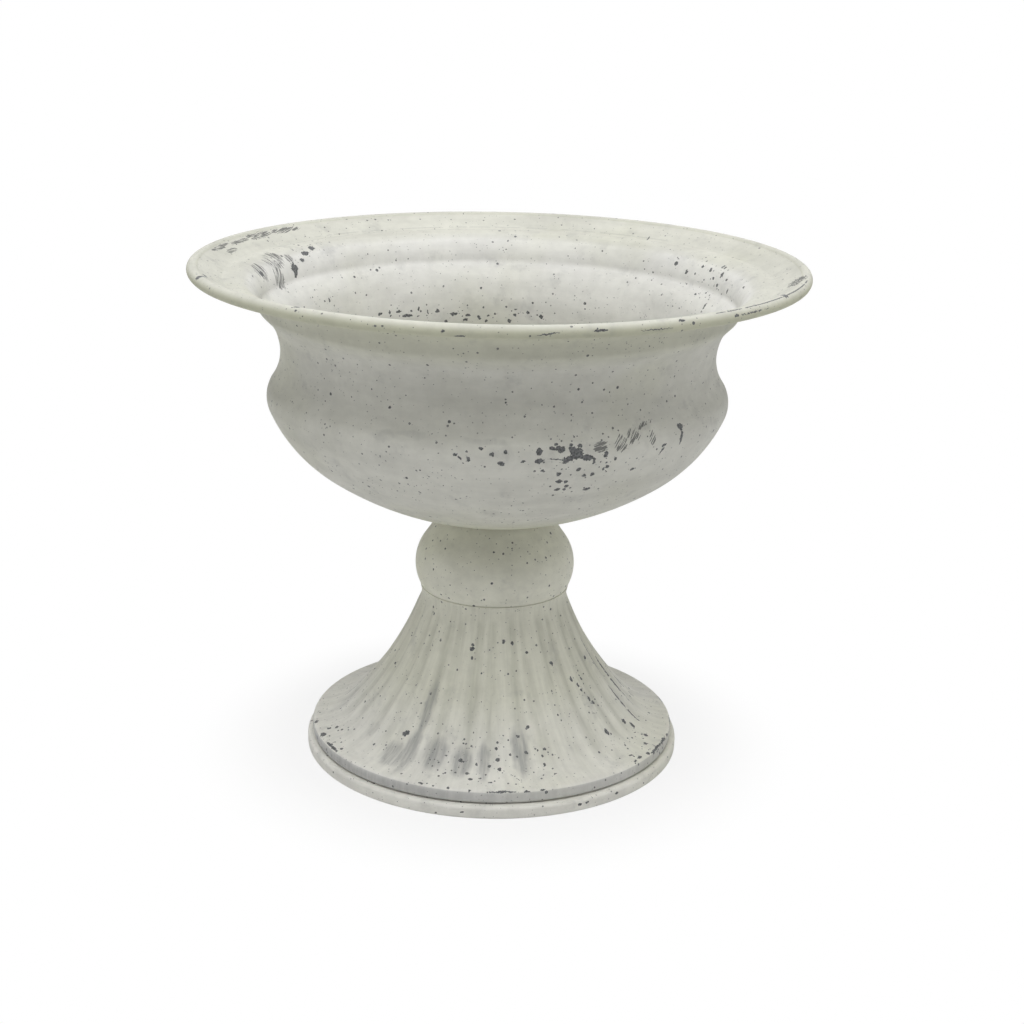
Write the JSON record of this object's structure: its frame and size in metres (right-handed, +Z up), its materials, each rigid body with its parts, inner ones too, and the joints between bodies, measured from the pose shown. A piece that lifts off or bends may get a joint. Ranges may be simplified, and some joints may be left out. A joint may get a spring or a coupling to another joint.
{
  "type": "urn planter",
  "caption": "Pedestal urn for plants: a round bowl with a wide rolled rim on a turned collar, a fluted trumpet foot and a stepped base ring, drawn together by a bolt on its axis.",
  "frame": {"origin": "on the floor, on the axis of the urn", "axes": "+Z up along the axis of the urn; the picture looks along +Y and slightly down"},
  "size_m": [0.28, 0.28, 0.2347],
  "materials": {
    "chalk_paint": "chalky off-white paint, specked and chipped to grey steel",
    "grey_paint": "chalky greige paint, streaked in the flutes and chipped",
    "ring_paint": "chalky greige paint, worn on the edge",
    "bare_steel": "bare drawn wire",
    "zinc_steel": "dull zinc plating",
    "seal_rubber": "matt black rubber"
  },
  "bodies": {
    "root": {"bowl_shell": "chalk_paint", "rim_wire": "bare_steel", "collar": "grey_paint", "pedestal_skirt": "grey_paint", "base_ring": "ring_paint", "seal_washer": "seal_rubber", "bowl_washer": "zinc_steel", "foot_washer": "zinc_steel", "lock_washer": "zinc_steel", "hex_nut": "zinc_steel", "tie_bolt": "zinc_steel"}
  },
  "joints": []
}
